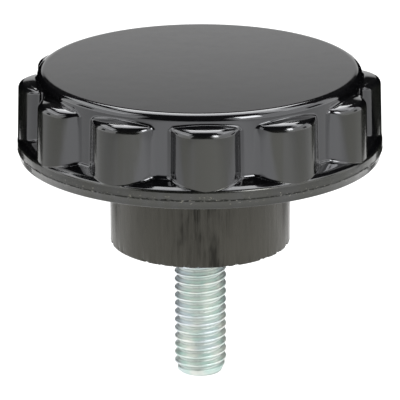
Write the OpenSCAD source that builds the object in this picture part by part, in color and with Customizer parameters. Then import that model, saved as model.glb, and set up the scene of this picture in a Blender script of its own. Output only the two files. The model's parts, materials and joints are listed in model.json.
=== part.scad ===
// Fluted clamping knob: a black moulded head with a ring of round grip lobes,
// a boss below it, and a threaded steel stud moulded into the boss.
// Millimetres. The seat of the boss is at z = 0, the axis is Z, the head is up.
// The thread and the mould marks are surface finish, so the stud here is a plain
// pin at the thread's outer diameter.

/* [Head] */
// Height of the moulding from the seat to the top face
body_h = 33; // [31.5:0.1:36]
// Diameter of the core wall just under its top edge
core_d = 59.2; // [57.6:0.1:60.4]
// Radius of the edge of the top face and of the lobes
edge_r = 1.2; // [0.8:0.05:1.4]
// Mould draft of the core wall, the lobes and the rim, in degrees
draft = 1.5; // [0.5:0.1:2.5]

/* [Grip lobes] */
// Number of lobes round the core
lobe_count = 12; // [10:1:13]
// Radius of a lobe's round back, where it meets the flange
lobe_r = 7; // [6.2:0.05:7.2]
// Step from the top face down to the tops of the lobes
lobe_drop = 2.1; // [1.8:0.1:4]
// Distance from the lobes' crests out to the rim of the flange
lobe_setback = 0.06; // [0.04:0.01:0.3]
// Turn of the first lobe from the -Y direction, in degrees
lobe_turn = 1.9; // [-15:0.1:15]

/* [Flange] */
// Largest diameter of the flange, at the parting line
flange_d = 66.7; // [65.6:0.1:68.4]
// Height of the parting line above the underside
parting_h = 1; // [0.8:0.1:2]
// Height of the upright rim above the parting line
rim_h = 2; // [1.4:0.1:2.4]
// Radius of the edge of the rim
rim_edge_r = 0.6; // [0.4:0.05:0.8]
// Width of the bevel that runs round inside the rim's edge
bevel_w = 1; // [0.6:0.1:1.2]
// Slope of the bevel, in degrees
bevel_slope = 33; // [25:1:40]
// Slope of the flange's upper side between the lobes, in degrees
flange_slope = 15; // [8:0.5:20]
// Inset of the lower edge of the flange from the parting line
undercut = 0.65; // [0.3:0.05:1]

/* [Boss] */
// Diameter of the boss
boss_d = 32.8; // [28:0.1:38]
// Height of the boss from its seat to the underside of the flange
boss_h = 16.7; // [15:0.1:17.5]
// Radius of the corner where the boss meets the underside
boss_root_r = 1.2; // [0.6:0.1:2]
// Radius of the edge of the seat and of the lower edge of the flange
small_r = 0.4; // [0.2:0.05:0.6]

/* [Stud] */
// Outer diameter of the stud's thread
stud_d = 9.525; // [8:0.005:10]
// Length of the stud below the seat
stud_l = 25.4; // [12:0.1:50]
// Chamfer at the end of the stud
stud_chamfer = 0.9; // [0.4:0.1:1.4]
// Diameter of the stud's shank inside the boss, where it has a shoulder for the mould
shank_d = 10.4; // [10.2:0.1:11.4]
// Length of the shank inside the boss
shank_l = 11; // [6:0.5:12]
// Width of the moulded-in hex head across its flats
hex_w = 14.3; // [12:0.1:16]
// Height of the moulded-in hex head
hex_h = 6; // [4:0.5:7]

/* [Hidden] */
$fn = 96;
phenolic = "#26272a";
zinc_plate = "#bfc4c3";
// Each round passes its flats by this much, so that the two faces cross cleanly.
overrun = 0.004;

boss_r = boss_d / 2;
flange_r = flange_d / 2;
parting_z = boss_h + parting_h;
rim_z = parting_z + rim_h;
// The rim leans in by the draft from the parting line up.
rim_r = flange_r - rim_h * tan(draft);

// Centres of the rounds in the half section, each from the two flats that it joins
seat_round = [boss_r - small_r, small_r];
lower_lean = atan(undercut / parting_h);
lower_round = [flange_r - undercut - small_r * tan(45 - lower_lean / 2), boss_h + small_r];
rim_round = [rim_r - rim_edge_r * cos(draft), rim_z - rim_edge_r * sin(draft)];
top_round = [core_d / 2 - edge_r * cos(draft), body_h - edge_r];
boss_root_round = [boss_r + boss_root_r, boss_h - boss_root_r];

// Where the core wall starts, under the top edge, and where it meets the flange's upper side
wall_top = top_round + edge_r * [cos(draft), sin(draft)];
bevel_foot = rim_round + rim_edge_r * [sin(bevel_slope), cos(bevel_slope)];
bevel_top = bevel_foot + bevel_w * [-cos(bevel_slope), sin(bevel_slope)];
wall_foot_z = (bevel_top.y + (bevel_top.x - wall_top.x - wall_top.y * tan(draft)) * tan(flange_slope))
    / (1 - tan(draft) * tan(flange_slope));
wall_foot = [wall_top.x + (wall_top.y - wall_foot_z) * tan(draft), wall_foot_z];

// The lobes stand round the axis on a circle, and their feet are inside the flange.
lobe_pitch = 360 / lobe_count;
lobe_axis_r = rim_r - lobe_setback - lobe_r;
lobe_top_z = body_h - lobe_drop;
lobe_foot_z = rim_z - rim_edge_r;
lobe_foot_r = lobe_r + (rim_z - lobe_foot_z) * tan(draft);
lobe_round = [lobe_r - (lobe_top_z - rim_z) * tan(draft) - edge_r * cos(draft), lobe_top_z - edge_r];

// Half section of the moulding without its lobes: boss, flange, core and top
module turned_section() {
    difference() {
        union() {
            polygon([
                [0, 0],
                [seat_round.x, 0],
                [boss_r, seat_round.y],
                [boss_r, boss_root_round.y],
                [boss_root_round.x, boss_h],
                [lower_round.x, boss_h],
                lower_round + small_r * [cos(lower_lean), -sin(lower_lean)],
                [flange_r, parting_z],
                [rim_r, rim_z],
                bevel_foot,
                bevel_top,
                wall_foot,
                wall_top,
                [top_round.x, body_h],
                [0, body_h]
            ]);
            translate(seat_round) circle(small_r + overrun);
            translate(lower_round) circle(small_r + overrun);
            translate(rim_round) circle(rim_edge_r + overrun);
            translate(top_round) circle(edge_r + overrun);
        }
        translate(boss_root_round) circle(boss_root_r + overrun);
    }
}

// One grip lobe: a drafted post with a rounded top edge
module lobe() {
    rotate_extrude() {
        polygon([
            [0, lobe_foot_z],
            [lobe_foot_r, lobe_foot_z],
            lobe_round + edge_r * [cos(draft), sin(draft)],
            [lobe_round.x, lobe_top_z],
            [0, lobe_top_z]
        ]);
        translate(lobe_round) circle(edge_r + overrun);
    }
}

// The part of the stud that is held in the boss
module stud_anchor() {
    cylinder(d = shank_d, h = shank_l);
    translate([0, 0, shank_l]) cylinder(r = hex_w / 2 / cos(30), h = hex_h, $fn = 6);
}

module knob_body() {
    color(phenolic) difference() {
        union() {
            rotate_extrude() turned_section();
            for (i = [0 : lobe_count - 1]) {
                rotate([0, 0, lobe_turn - 90 + i * lobe_pitch])
                    translate([lobe_axis_r, 0, 0]) lobe();
            }
        }
        stud_anchor();
    }
}

module threaded_stud() {
    color(zinc_plate) union() {
        translate([0, 0, -stud_l])
            cylinder(d1 = stud_d - 2 * stud_chamfer, d2 = stud_d, h = stud_chamfer);
        translate([0, 0, stud_chamfer - stud_l]) cylinder(d = stud_d, h = stud_l - stud_chamfer);
        stud_anchor();
    }
}

knob_body();
threaded_stud();
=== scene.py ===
"""Looks of a fluted clamping knob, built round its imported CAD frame.

A black moulded head with twelve round grip lobes stands on a satin boss, and a
zinc-plated threaded stud comes out of the boss. Sizes in the classes are millimetres in
the frame's own axes: the seat of the boss is at z = 0, the axis is Z, and the camera
looks along +Y. They become metres where a mesh, a lamp or a node takes them.
"""
import json
import logging
import math
from dataclasses import dataclass
from enum import Enum
from typing import Any, Mapping, Sequence, Union

import bpy
import numpy as np
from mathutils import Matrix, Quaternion, Vector


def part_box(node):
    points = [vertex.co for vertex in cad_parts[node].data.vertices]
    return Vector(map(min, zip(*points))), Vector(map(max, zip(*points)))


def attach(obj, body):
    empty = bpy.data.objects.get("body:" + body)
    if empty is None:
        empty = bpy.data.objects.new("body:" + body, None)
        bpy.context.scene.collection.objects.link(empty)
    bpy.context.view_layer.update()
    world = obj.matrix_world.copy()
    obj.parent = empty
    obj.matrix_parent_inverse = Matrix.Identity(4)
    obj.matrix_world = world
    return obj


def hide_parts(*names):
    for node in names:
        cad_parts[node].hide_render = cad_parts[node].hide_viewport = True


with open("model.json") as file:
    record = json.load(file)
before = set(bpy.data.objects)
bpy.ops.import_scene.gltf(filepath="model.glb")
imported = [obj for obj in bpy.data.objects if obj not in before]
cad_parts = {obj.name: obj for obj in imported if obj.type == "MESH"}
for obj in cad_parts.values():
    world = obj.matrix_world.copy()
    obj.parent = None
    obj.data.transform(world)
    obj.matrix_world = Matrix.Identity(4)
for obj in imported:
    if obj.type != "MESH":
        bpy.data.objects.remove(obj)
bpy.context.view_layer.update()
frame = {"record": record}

MM = 0.001
BODY = "root"
IMAGE_PX = 400
SENSOR_MM = 36.0
# The table lies this far under the stud, so that the two flat faces don't fall together.
TABLE_GAP = 0.02
# Points of a mesh that are closer than this, in metres, become one.
WELD = 1e-6
WHITE = (1.0, 1.0, 1.0, 1.0)
# Nearly all values of a noise texture lie in the first span, and most in the second.
NOISE_SPAN = (0.3, 0.7)
NOISE_CORE = (0.35, 0.65)
# A Mix node's places: two plain values, two colours, and the mixed colour that comes out.
FIRST_VALUE, SECOND_VALUE = 2, 3
FIRST_COLOUR, SECOND_COLOUR = 6, 7
MIXED_COLOUR = 2
# Settings of nodes that are used often
SMOOTH = {"interpolation_type": "SMOOTHSTEP"}
TIMES = {"operation": "MULTIPLY"}
COLOURS = {"data_type": "RGBA"}
LOG = logging.getLogger("knob")

Inputs = Union[Mapping[Union[int, str], Any], Sequence[Any]]
# Two ends of a range
Span = tuple[float, float]
# Two ends of a value's range, and what they become
Ramp = tuple[float, float, float, float]
Place = tuple[float, float, float]


class Mark(Enum):
    """Attributes that the meshes carry for the node trees and materials."""

    FLASH = "flash"
    WORN = "worn"
    # Filed and matt under the parting line, and dulled and darkened there as painted shade
    FILED_AND_SHADED = "filed_and_shaded"
    CHIP = "chip"
    DRAWN = "drawn"
    GROOVE = "groove"


def to_linear(hex_code: str) -> tuple[float, float, float, float]:
    """Turn an sRGB hex colour into the linear colour that a shader takes.

    Args:
        hex_code: Colour such as "#26272a".

    Returns:
        Red, green, blue and alpha, each from 0 to 1.
    """
    values = [int(hex_code[i:i + 2], 16) / 255 for i in (1, 3, 5)]
    red, green, blue = (
        v / 12.92 if v <= 0.04045 else ((v + 0.055) / 1.055) ** 2.4 for v in values
    )
    return red, green, blue, 1.0


def per_metre(size_mm: float) -> float:
    """Texture scale that gives a pattern about this many millimetres from mark to mark."""
    return 1.0 / (size_mm * MM)


def in_metres(span: Span) -> Span:
    """The two ends of a span of millimetres, in metres."""
    return span[0] * MM, span[1] * MM


def ease(share: np.ndarray) -> np.ndarray:
    """Smooth step from 0 to 1 that is held at both ends."""
    held = np.clip(share, 0, 1)
    return held ** 2 * (3 - 2 * held)


def add_node(tree: bpy.types.NodeTree, kind: str, inputs: Inputs = (),
             **settings: Any) -> bpy.types.Node:
    """Add a node, set it up and join its inputs.

    Args:
        tree: The tree that gets the node.
        kind: Blender's class name of the node.
        inputs: What goes into the inputs, in order, or by name or place. It is a value, a
            source socket, or a node whose first output is the source.
        **settings: The node's own properties.

    Returns:
        The new node.
    """
    node = tree.nodes.new(kind)
    for name, value in settings.items():
        setattr(node, name, value)
    pairs = inputs.items() if isinstance(inputs, dict) else enumerate(inputs)
    for key, value in pairs:
        source = value.outputs[0] if isinstance(value, bpy.types.Node) else value
        if isinstance(source, bpy.types.NodeSocket):
            tree.links.new(source, node.inputs[key])
        else:
            node.inputs[key].default_value = source
    return node


def new_material(name: str) -> tuple[
        bpy.types.Material, bpy.types.NodeTree, bpy.types.NodeSocket, bpy.types.Node]:
    """Start a material that reads Object coordinates.

    Args:
        name: Name of the material.

    Returns:
        The material, its node tree, the Object coordinate socket and the output node.
    """
    material = bpy.data.materials.new(name)
    material.use_nodes = True
    tree = material.node_tree
    tree.nodes.clear()
    coordinates = add_node(tree, "ShaderNodeTexCoord")
    output = add_node(tree, "ShaderNodeOutputMaterial")
    return material, tree, coordinates.outputs["Object"], output


def new_tree(name: str, sockets: Sequence[tuple[str, str]]) -> tuple[
        bpy.types.NodeTree, bpy.types.Node, bpy.types.Node]:
    """Start a geometry tree with named inputs and one geometry output.

    Args:
        name: Name of the tree.
        sockets: Name and kind of each input, such as Float.

    Returns:
        The tree, its input node and its output node.
    """
    tree = bpy.data.node_groups.new(name, "GeometryNodeTree")
    for socket_name, kind in sockets:
        tree.interface.new_socket(socket_name, in_out="INPUT", socket_type=f"NodeSocket{kind}")
    tree.interface.new_socket("Geometry", in_out="OUTPUT", socket_type="NodeSocketGeometry")
    return tree, add_node(tree, "NodeGroupInput"), add_node(tree, "NodeGroupOutput")


def settle_tree(piece: bpy.types.Object, tree: bpy.types.NodeTree,
                values: Mapping[str, Any]) -> None:
    """Run a geometry tree on a piece and keep the result as its plain mesh.

    Args:
        piece: The object that takes the result.
        tree: The geometry tree.
        values: Value of each named input.
    """
    modifier = piece.modifiers.new(tree.name, "NODES")
    modifier.node_group = tree
    for item in tree.interface.items_tree:
        if item.in_out == "INPUT" and item.name in values:
            modifier[item.identifier] = values[item.name]
    graph = bpy.context.evaluated_depsgraph_get()
    made = bpy.data.meshes.new_from_object(piece.evaluated_get(graph))
    piece.modifiers.remove(modifier)
    rough = piece.data
    piece.data = made
    bpy.data.meshes.remove(rough)
    made.name = piece.name


def new_piece(name: str, mesh: bpy.types.Mesh) -> bpy.types.Object:
    """Put a mesh into the scene as an object at the origin.

    Args:
        name: Name of the object.
        mesh: Its mesh.

    Returns:
        The object.
    """
    piece = bpy.data.objects.new(name, mesh)
    bpy.context.scene.collection.objects.link(piece)
    return piece


@dataclass(frozen=True)
class GlossPhenolic:
    """Black phenolic, compression-moulded against a polished die.

    It gives the eye a deep black under a hard resin skin that mirrors the studio, with
    the faint waviness of a hand-polished die. On the backs of the lobes and on the rim the
    skin is worn thin, so they are duller and browner, with upright streaks. Where the
    flash was broken off the rim, pale specks of filler show, and the filed edge under the
    parting line is matt. Its skin is also dulled and darkened there as painted shade, since
    the floor that it mirrors lies in shadow.
    """

    name: str = "moulded_phenolic_gloss"
    deep: str = "#060607"
    filler: str = "#101012"
    worn: str = "#191a17"
    bared: str = "#7f7c70"
    cool: str = "#f6f8ff"
    warm: str = "#fdfdf3"
    ior: float = 1.6
    shine: Span = (0.5, 0.2)
    roughness: Span = (0.07, 0.14)
    worn_roughness: float = 0.26
    filed_roughness: float = 0.5
    skin_ior: float = 1.5
    skin_roughness: float = 0.04
    worn_skin: float = 0.45
    mottle_mm: float = 1.6
    wave_mm: float = 5.0
    wave_height_mm: float = 0.004
    # The filler's own grain is about a tenth of a millimetre. The grain and the specks are
    # drawn several times as coarse, so that they show.
    grain_mm: float = 0.35
    grain_height_mm: float = 0.0004
    speck_mm: float = 0.6
    speck_tall_mm: float = 0.3
    streak_mm: float = 2.2
    streak_length_mm: float = 40.0
    streak_wear: Span = (0.6, 1.0)
    # Which specks are bared on the flash, and which clefts between them stay dark
    bared_specks: Span = (0.64, 0.72)
    bared_flash: Span = (0.01, 0.05)
    cleft_specks: Span = (0.62, 0.5)
    cleft_flash: Span = (0.3, 0.6)

    def material(self) -> bpy.types.Material:
        """Build the material.

        Returns:
            The material of the head and the flange.
        """
        material, tree, place, output = new_material(self.name)
        mottle, waves, grain = (
            add_node(tree, "ShaderNodeTexNoise", {
                "Vector": place, "Scale": per_metre(size), "Detail": detail})
            for size, detail in ((self.mottle_mm, 4.0), (self.wave_mm, 1.0), (self.grain_mm, 2.0)))
        streaks, specks = (
            add_node(tree, "ShaderNodeTexNoise", {
                "Vector": add_node(tree, "ShaderNodeMapping", {
                    "Vector": place, "Scale": (1.0, 1.0, size / length)}),
                "Scale": per_metre(size), "Detail": detail})
            for size, length, detail in ((self.streak_mm, self.streak_length_mm, 3.0),
                                         (self.speck_mm, self.speck_tall_mm, 2.0)))
        worn, flash, filed_and_shaded = (
            add_node(tree, "ShaderNodeAttribute", attribute_name=kind.value).outputs["Fac"]
            for kind in (Mark.WORN, Mark.FLASH, Mark.FILED_AND_SHADED))
        streaked = add_node(tree, "ShaderNodeMapRange", (
            streaks, *NOISE_CORE, *self.streak_wear), **SMOOTH)
        wear = add_node(tree, "ShaderNodeMath", (worn, streaked), **TIMES)
        bared, sunk = (
            add_node(tree, "ShaderNodeMath", (
                add_node(tree, "ShaderNodeMapRange", (specks, *which), **SMOOTH),
                add_node(tree, "ShaderNodeMapRange", (flash, *where), **SMOOTH)), **TIMES)
            for which, where in ((self.bared_specks, self.bared_flash),
                                 (self.cleft_specks, self.cleft_flash)))
        # Dull clefts of the flash, and the filed edge, whose dulling there is painted shade
        cleft_and_shade = add_node(tree, "ShaderNodeMath", (sunk, filed_and_shaded), operation="MAXIMUM")
        skin = add_node(tree, "ShaderNodeMath", (
            add_node(tree, "ShaderNodeMapRange", (wear, 0.0, 1.0, 1.0, self.worn_skin), **SMOOTH),
            add_node(tree, "ShaderNodeMapRange", (cleft_and_shade, 0.0, 1.0, 1.0, 0.0), **SMOOTH)), **TIMES)
        moulded = add_node(tree, "ShaderNodeMix", {
            0: mottle, FIRST_COLOUR: to_linear(self.deep),
            SECOND_COLOUR: to_linear(self.filler)}, **COLOURS)
        handled = add_node(tree, "ShaderNodeMix", {
            0: wear, FIRST_COLOUR: moulded.outputs[MIXED_COLOUR],
            SECOND_COLOUR: to_linear(self.worn)}, **COLOURS)
        colour = add_node(tree, "ShaderNodeMix", {
            0: bared, FIRST_COLOUR: handled.outputs[MIXED_COLOUR],
            SECOND_COLOUR: to_linear(self.bared)}, **COLOURS)
        tint = add_node(tree, "ShaderNodeMix", {
            0: wear, FIRST_COLOUR: to_linear(self.cool),
            SECOND_COLOUR: to_linear(self.warm)}, **COLOURS)
        polish = add_node(tree, "ShaderNodeMapRange", (
            mottle, *NOISE_SPAN, *self.roughness), **SMOOTH)
        gloss = add_node(tree, "ShaderNodeMix", {
            0: wear, FIRST_VALUE: polish, SECOND_VALUE: self.worn_roughness})
        dull = add_node(tree, "ShaderNodeMix", {
            0: filed_and_shaded, FIRST_VALUE: gloss, SECOND_VALUE: self.filed_roughness})
        swell = add_node(tree, "ShaderNodeBump", {
            "Height": waves, "Distance": self.wave_height_mm * MM, "Strength": 1.0})
        peel = add_node(tree, "ShaderNodeBump", {
            "Height": grain, "Distance": self.grain_height_mm * MM, "Strength": 1.0,
            "Normal": swell})
        shader = add_node(tree, "ShaderNodeBsdfPrincipled", {
            "Base Color": colour.outputs[MIXED_COLOUR], "Roughness": dull, "IOR": self.ior,
            "Normal": peel, "Coat Weight": skin, "Coat IOR": self.skin_ior,
            "Specular IOR Level": add_node(tree, "ShaderNodeMapRange", (
                cleft_and_shade, 0.0, 1.0, *self.shine), **SMOOTH),
            "Specular Tint": tint.outputs[MIXED_COLOUR],
            "Coat Roughness": self.skin_roughness, "Coat Normal": peel})
        tree.links.new(shader.outputs[0], output.inputs[0])
        return material


@dataclass(frozen=True)
class SatinPhenolic:
    """The same phenolic where the boss was drawn out of its steel sleeve.

    It gives the eye a dull grey-brown with dark upright draw marks, since the sleeve
    scuffs the skin as the part is pushed out, and short pale scratches near the flange.
    """

    name: str = "moulded_phenolic_drawn"
    deep: str = "#12110e"
    scuffed: str = "#35332d"
    scratch: str = "#3a3932"
    warm: str = "#fefcf0"
    ior: float = 1.52
    shine: Span = (0.55, 0.24)
    roughness: Span = (0.24, 0.4)
    streak_mm: float = 0.8
    streak_length_mm: float = 5.0
    streak_ramp: Ramp = (0.4, 0.62, 0.5, 1.0)
    smudge_mm: float = 2.2
    smudge_length_mm: float = 7.0
    smudge_ramp: Ramp = (0.42, 0.6, 0.4, 1.0)
    # Real draw marks are finer than a tenth of a millimetre. The finest ones here are drawn
    # several times as coarse, so that they show.
    hair_mm: float = 0.4
    hair_length_mm: float = 9.0
    hair_height_mm: float = 0.006
    hair_ramp: Ramp = (0.35, 0.6, 0.5, 1.0)
    # The marks are darkest near x = 0, and past the second distance this share is left.
    scuffed_x: Span = (2.0, 7.0)
    scuffed_least: float = 0.22
    scratch_mm: float = 0.7
    scratch_span: Span = (0.6, 0.66)
    scratched_z: Span = (11.0, 14.5)

    def material(self) -> bpy.types.Material:
        """Build the material.

        Returns:
            The material of the boss.
        """
        material, tree, place, output = new_material(self.name)
        axes = add_node(tree, "ShaderNodeSeparateXYZ", (place,))
        hair, streak, smudge = (
            add_node(tree, "ShaderNodeTexNoise", {
                "Vector": add_node(tree, "ShaderNodeMapping", {
                    "Vector": place, "Scale": (1.0, 1.0, size / length)}),
                "Scale": per_metre(size), "Detail": detail})
            for size, length, detail in ((self.hair_mm, self.hair_length_mm, 3.0),
                                         (self.streak_mm, self.streak_length_mm, 7.0),
                                         (self.smudge_mm, self.smudge_length_mm, 5.0)))
        scratches = add_node(tree, "ShaderNodeTexNoise", {
            "Vector": place, "Scale": per_metre(self.scratch_mm), "Detail": 5.0})
        aside = add_node(tree, "ShaderNodeMath", (axes.outputs["X"],), operation="ABSOLUTE")
        ramps = ((streak, self.streak_ramp), (smudge, self.smudge_ramp),
                 (aside, (*in_metres(self.scuffed_x), 1.0, self.scuffed_least)),
                 (hair, self.hair_ramp))
        shares = [add_node(tree, "ShaderNodeMapRange", (pattern, *ramp), **SMOOTH)
                  for pattern, ramp in ramps]
        drawn = shares[0]
        for share in shares[1:]:
            drawn = add_node(tree, "ShaderNodeMath", (drawn, share), **TIMES)
        scratch = add_node(tree, "ShaderNodeMath", (
            add_node(tree, "ShaderNodeMapRange", (scratches, *self.scratch_span), **SMOOTH),
            add_node(tree, "ShaderNodeMapRange", (
                axes.outputs["Z"], *in_metres(self.scratched_z)), **SMOOTH)), **TIMES)
        marked = add_node(tree, "ShaderNodeMix", {
            0: drawn, FIRST_COLOUR: to_linear(self.scuffed),
            SECOND_COLOUR: to_linear(self.deep)}, **COLOURS)
        colour = add_node(tree, "ShaderNodeMix", {
            0: scratch, FIRST_COLOUR: marked.outputs[MIXED_COLOUR],
            SECOND_COLOUR: to_linear(self.scratch)}, **COLOURS)
        shader = add_node(tree, "ShaderNodeBsdfPrincipled", {
            "Base Color": colour.outputs[MIXED_COLOUR], "IOR": self.ior,
            "Roughness": add_node(tree, "ShaderNodeMapRange", (
                hair, *NOISE_SPAN, *self.roughness), **SMOOTH),
            "Specular IOR Level": add_node(tree, "ShaderNodeMapRange", (
                drawn, 0.0, 1.0, *self.shine), **SMOOTH),
            "Specular Tint": to_linear(self.warm),
            "Normal": add_node(tree, "ShaderNodeBump", {
                "Height": hair, "Distance": self.hair_height_mm * MM, "Strength": 1.0})})
        tree.links.new(shader.outputs[0], output.inputs[0])
        return material


@dataclass(frozen=True)
class ZincPlate:
    """Rolled steel thread with bright zinc plate and a clear passivate.

    It gives the eye a pale metal that is softly blurred, greenish and bluish in patches,
    and darker down in the roots.
    """

    name: str = "zinc_plated_steel"
    bright: str = "#f4f6f0"
    tinted: str = "#d6e9e3"
    blued: str = "#e2e9ed"
    root: str = "#c6cdc9"
    roughness: Span = (0.46, 0.6)
    patch_mm: float = 4.0
    film_mm: float = 9.0
    film_span: Span = (0.42, 0.6)
    root_ramp: Ramp = (0.5, 1.0, 0.0, 0.8)
    # Crystals of real plate are some hundredths of a millimetre wide. They are drawn about
    # ten times as coarse, so that they show.
    crystal_mm: float = 0.3
    crystal_height_mm: float = 0.0015

    def material(self) -> bpy.types.Material:
        """Build the material.

        Returns:
            The material of the stud.
        """
        material, tree, place, output = new_material(self.name)
        patches, films, crystal = (
            add_node(tree, "ShaderNodeTexNoise", {
                "Vector": place, "Scale": per_metre(size), "Detail": detail})
            for size, detail in ((self.patch_mm, 3.0), (self.film_mm, 2.0), (self.crystal_mm, 3.0)))
        groove = add_node(tree, "ShaderNodeAttribute", attribute_name=Mark.GROOVE.value)
        patch = add_node(tree, "ShaderNodeMapRange", (patches, *NOISE_CORE), **SMOOTH)
        film = add_node(tree, "ShaderNodeMapRange", (films, *self.film_span), **SMOOTH)
        deep = add_node(tree, "ShaderNodeMapRange", (
            groove.outputs["Fac"], *self.root_ramp), **SMOOTH)
        greened = add_node(tree, "ShaderNodeMix", {
            0: patch, FIRST_COLOUR: to_linear(self.bright),
            SECOND_COLOUR: to_linear(self.tinted)}, **COLOURS)
        plate = add_node(tree, "ShaderNodeMix", {
            0: film, FIRST_COLOUR: greened.outputs[MIXED_COLOUR],
            SECOND_COLOUR: to_linear(self.blued)}, **COLOURS)
        colour = add_node(tree, "ShaderNodeMix", {
            0: deep, FIRST_COLOUR: plate.outputs[MIXED_COLOUR],
            SECOND_COLOUR: to_linear(self.root)}, **COLOURS)
        shader = add_node(tree, "ShaderNodeBsdfPrincipled", {
            "Base Color": colour.outputs[MIXED_COLOUR], "Metallic": 1.0,
            "Roughness": add_node(tree, "ShaderNodeMapRange", (
                crystal, *NOISE_SPAN, *self.roughness), **SMOOTH),
            "Normal": add_node(tree, "ShaderNodeBump", {
                "Height": crystal, "Distance": self.crystal_height_mm * MM, "Strength": 1.0})})
        tree.links.new(shader.outputs[0], output.inputs[0])
        return material


@dataclass(frozen=True)
class RowPlan:
    """How the rows and columns of the moulding's mesh lie, in millimetres and degrees."""

    columns: int = 72
    outline_samples: int = 4001
    # Angles across the root of a lobe, and how many times closer the columns lie there
    crowd_at: tuple[float, ...] = (-4.0, -1.7, -1.0, 0.8, 1.4)
    crowd: tuple[float, ...] = (1.0, 2.0, 5.0, 5.0, 1.0)
    # Flat top: distances from the axis, and from the start of the round edge
    top_radii: tuple[float, ...] = (0.0, 8.0, 16.0, 22.0, 26.0)
    top_insets: tuple[float, ...] = (1.0, 0.3)
    top_edge: int = 11
    # Core wall over a lobe, the lobe's top, its round edge and its side
    wall: int = 4
    wall_clear: float = 0.22
    lobe_top: int = 7
    lobe_top_crowd: float = 1.4
    root_lift: float = 0.08
    lobe_edge: int = 9
    lobe_edge_from: float = 80.0
    side_heights: tuple[float, ...] = (28.0, 25.0, 22.2)
    # Foot of the side and upper side of the flange, sampled finely and then thinned
    foot_z: float = 19.4
    side_samples: int = 240
    slope_inside: float = 0.5
    slope_samples: int = 120
    bevel_samples: int = 40
    rim_samples: int = 60
    joint_reach: float = 0.4
    joint_share: float = 0.45
    least_share: float = 0.06
    foot: tuple[int, ...] = (3, 8, 6, 6, 8)
    # Flange below the parting line, boss and seat
    lower_edge: int = 5
    underside: int = 5
    boss_root: int = 7
    boss: int = 9
    seat_edge: int = 6
    seat: int = 5
    inset: float = 0.3
    boss_inset: float = 0.4


@dataclass(frozen=True)
class WearPlan:
    """Where the moulding is worn, chipped and drawn, and where it is filed and dulled as painted
    shade, in millimetres.
    """

    # The backs of the lobes are worn outside these radii, near the rim and at the brow.
    lobe_r: Span = (32.2, 31.2)
    above_rim: float = 1.8
    lobe_fade: float = 0.7
    below_top: float = 0.5
    top_fade: float = 1.0
    lobe_depth: float = 0.15
    rim_fade: float = 0.25
    underside_fade: float = 2.0
    # The edge under the parting line is filed from above the underside up to the line, and dulled
    # there as painted shade.
    filed_and_shaded_ends: Span = (0.2, 0.1)
    filed_and_shaded: float = 0.36
    # Chips at the seat's edge, by the distance from it
    chip_at: tuple[float, ...] = (0.0, 0.35, 0.8)
    chip: tuple[float, ...] = (1.0, 0.7, 0.0)
    drawn_below: float = 0.2


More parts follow.
